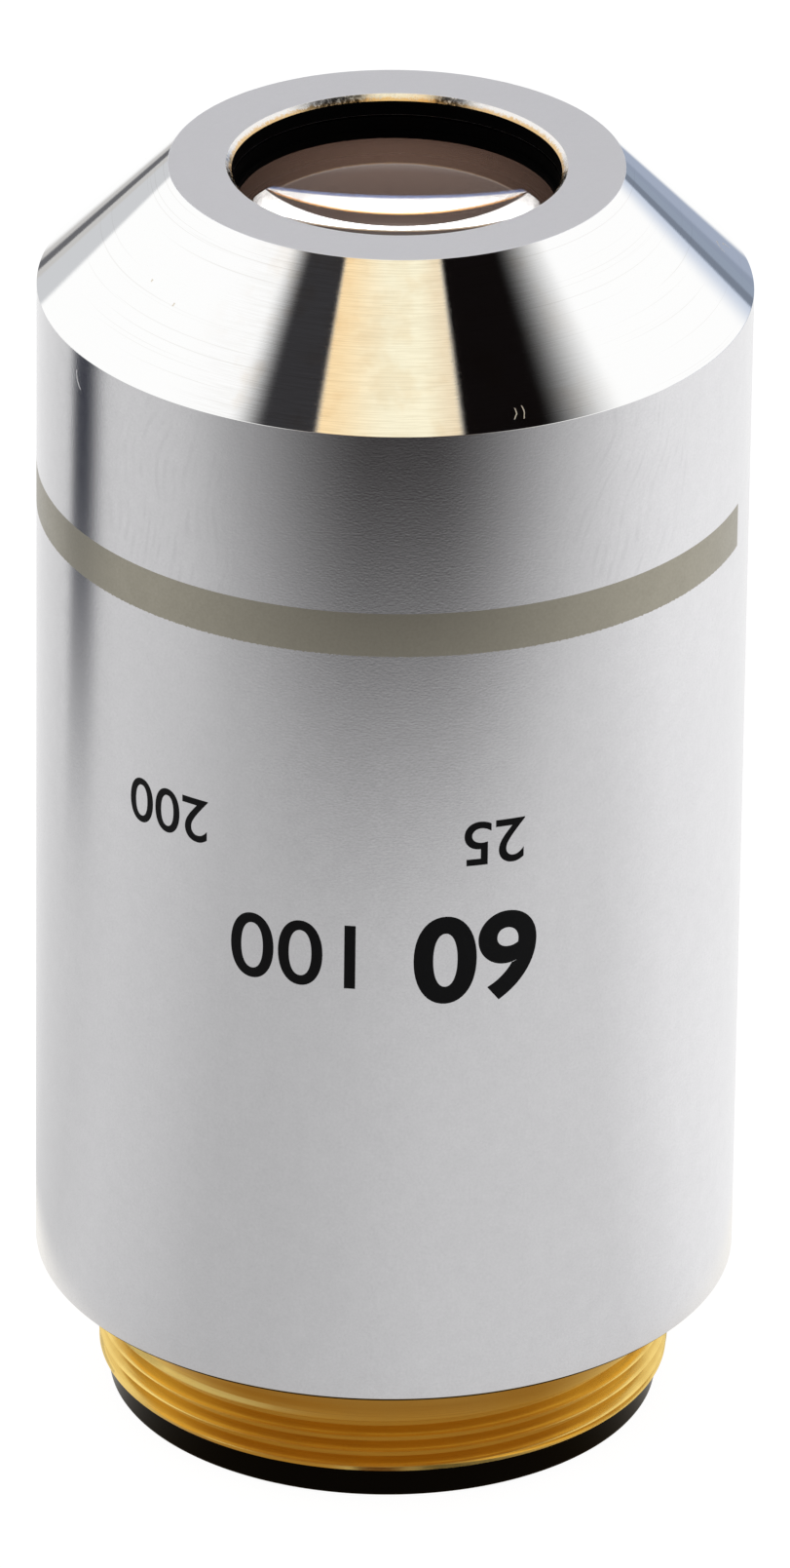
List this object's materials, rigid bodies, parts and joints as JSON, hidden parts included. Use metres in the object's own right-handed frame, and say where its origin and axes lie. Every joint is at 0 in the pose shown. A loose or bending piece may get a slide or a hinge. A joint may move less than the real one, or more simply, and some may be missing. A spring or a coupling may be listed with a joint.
{
  "type": "microscope objective",
  "caption": "Low-power microscope objective: satin metal barrel with a polished cone, grey band, recessed front lens and fine brass mounting thread behind a flat shoulder.",
  "frame": {"origin": "centre of the mounting shoulder, where the thread meets the barrel's rear face", "axes": "+Z along the optical axis towards the specimen, -Z along the thread into the nosepiece, -Y the side that faces the reader of the marks"},
  "size_m": [0.0306, 0.0304, 0.0579],
  "materials": {
    "satin_chrome": "fine blasted satin plating on the barrel, mirror polish on the cone",
    "band_paint": "semi-matte grey paint",
    "brass": "turned, slightly tarnished",
    "black_ring": "black anodised, semi-gloss",
    "black_cell": "matte black lacquer",
    "steel": "plain machined",
    "coated_glass": "polished optical glass with an antireflection coating"
  },
  "bodies": {
    "root": {"centring_screws": "steel", "front_cell": "black_cell", "front_crown": "coated_glass", "front_flint": "coated_glass", "front_lens": "coated_glass", "front_retainer": "black_cell", "front_spacer": "black_cell", "front_tube": "black_cell", "glare_stop": "black_cell", "lock_ring": "black_cell", "magnification_band": "band_paint", "main_body": "brass", "middle_cell": "black_cell", "middle_crown": "coated_glass", "middle_flint": "coated_glass", "middle_retainer": "black_cell", "middle_singlet": "coated_glass", "middle_spacer": "black_cell", "outer_sleeve": "satin_chrome", "parfocal_shim": "brass", "rear_cell": "black_cell", "rear_crown": "coated_glass", "rear_flint": "coated_glass", "rear_lens": "coated_glass", "rear_retainer": "black_cell", "rear_ring": "black_ring", "rear_spacer": "black_cell", "rear_tube": "black_cell"}
  },
  "joints": []
}
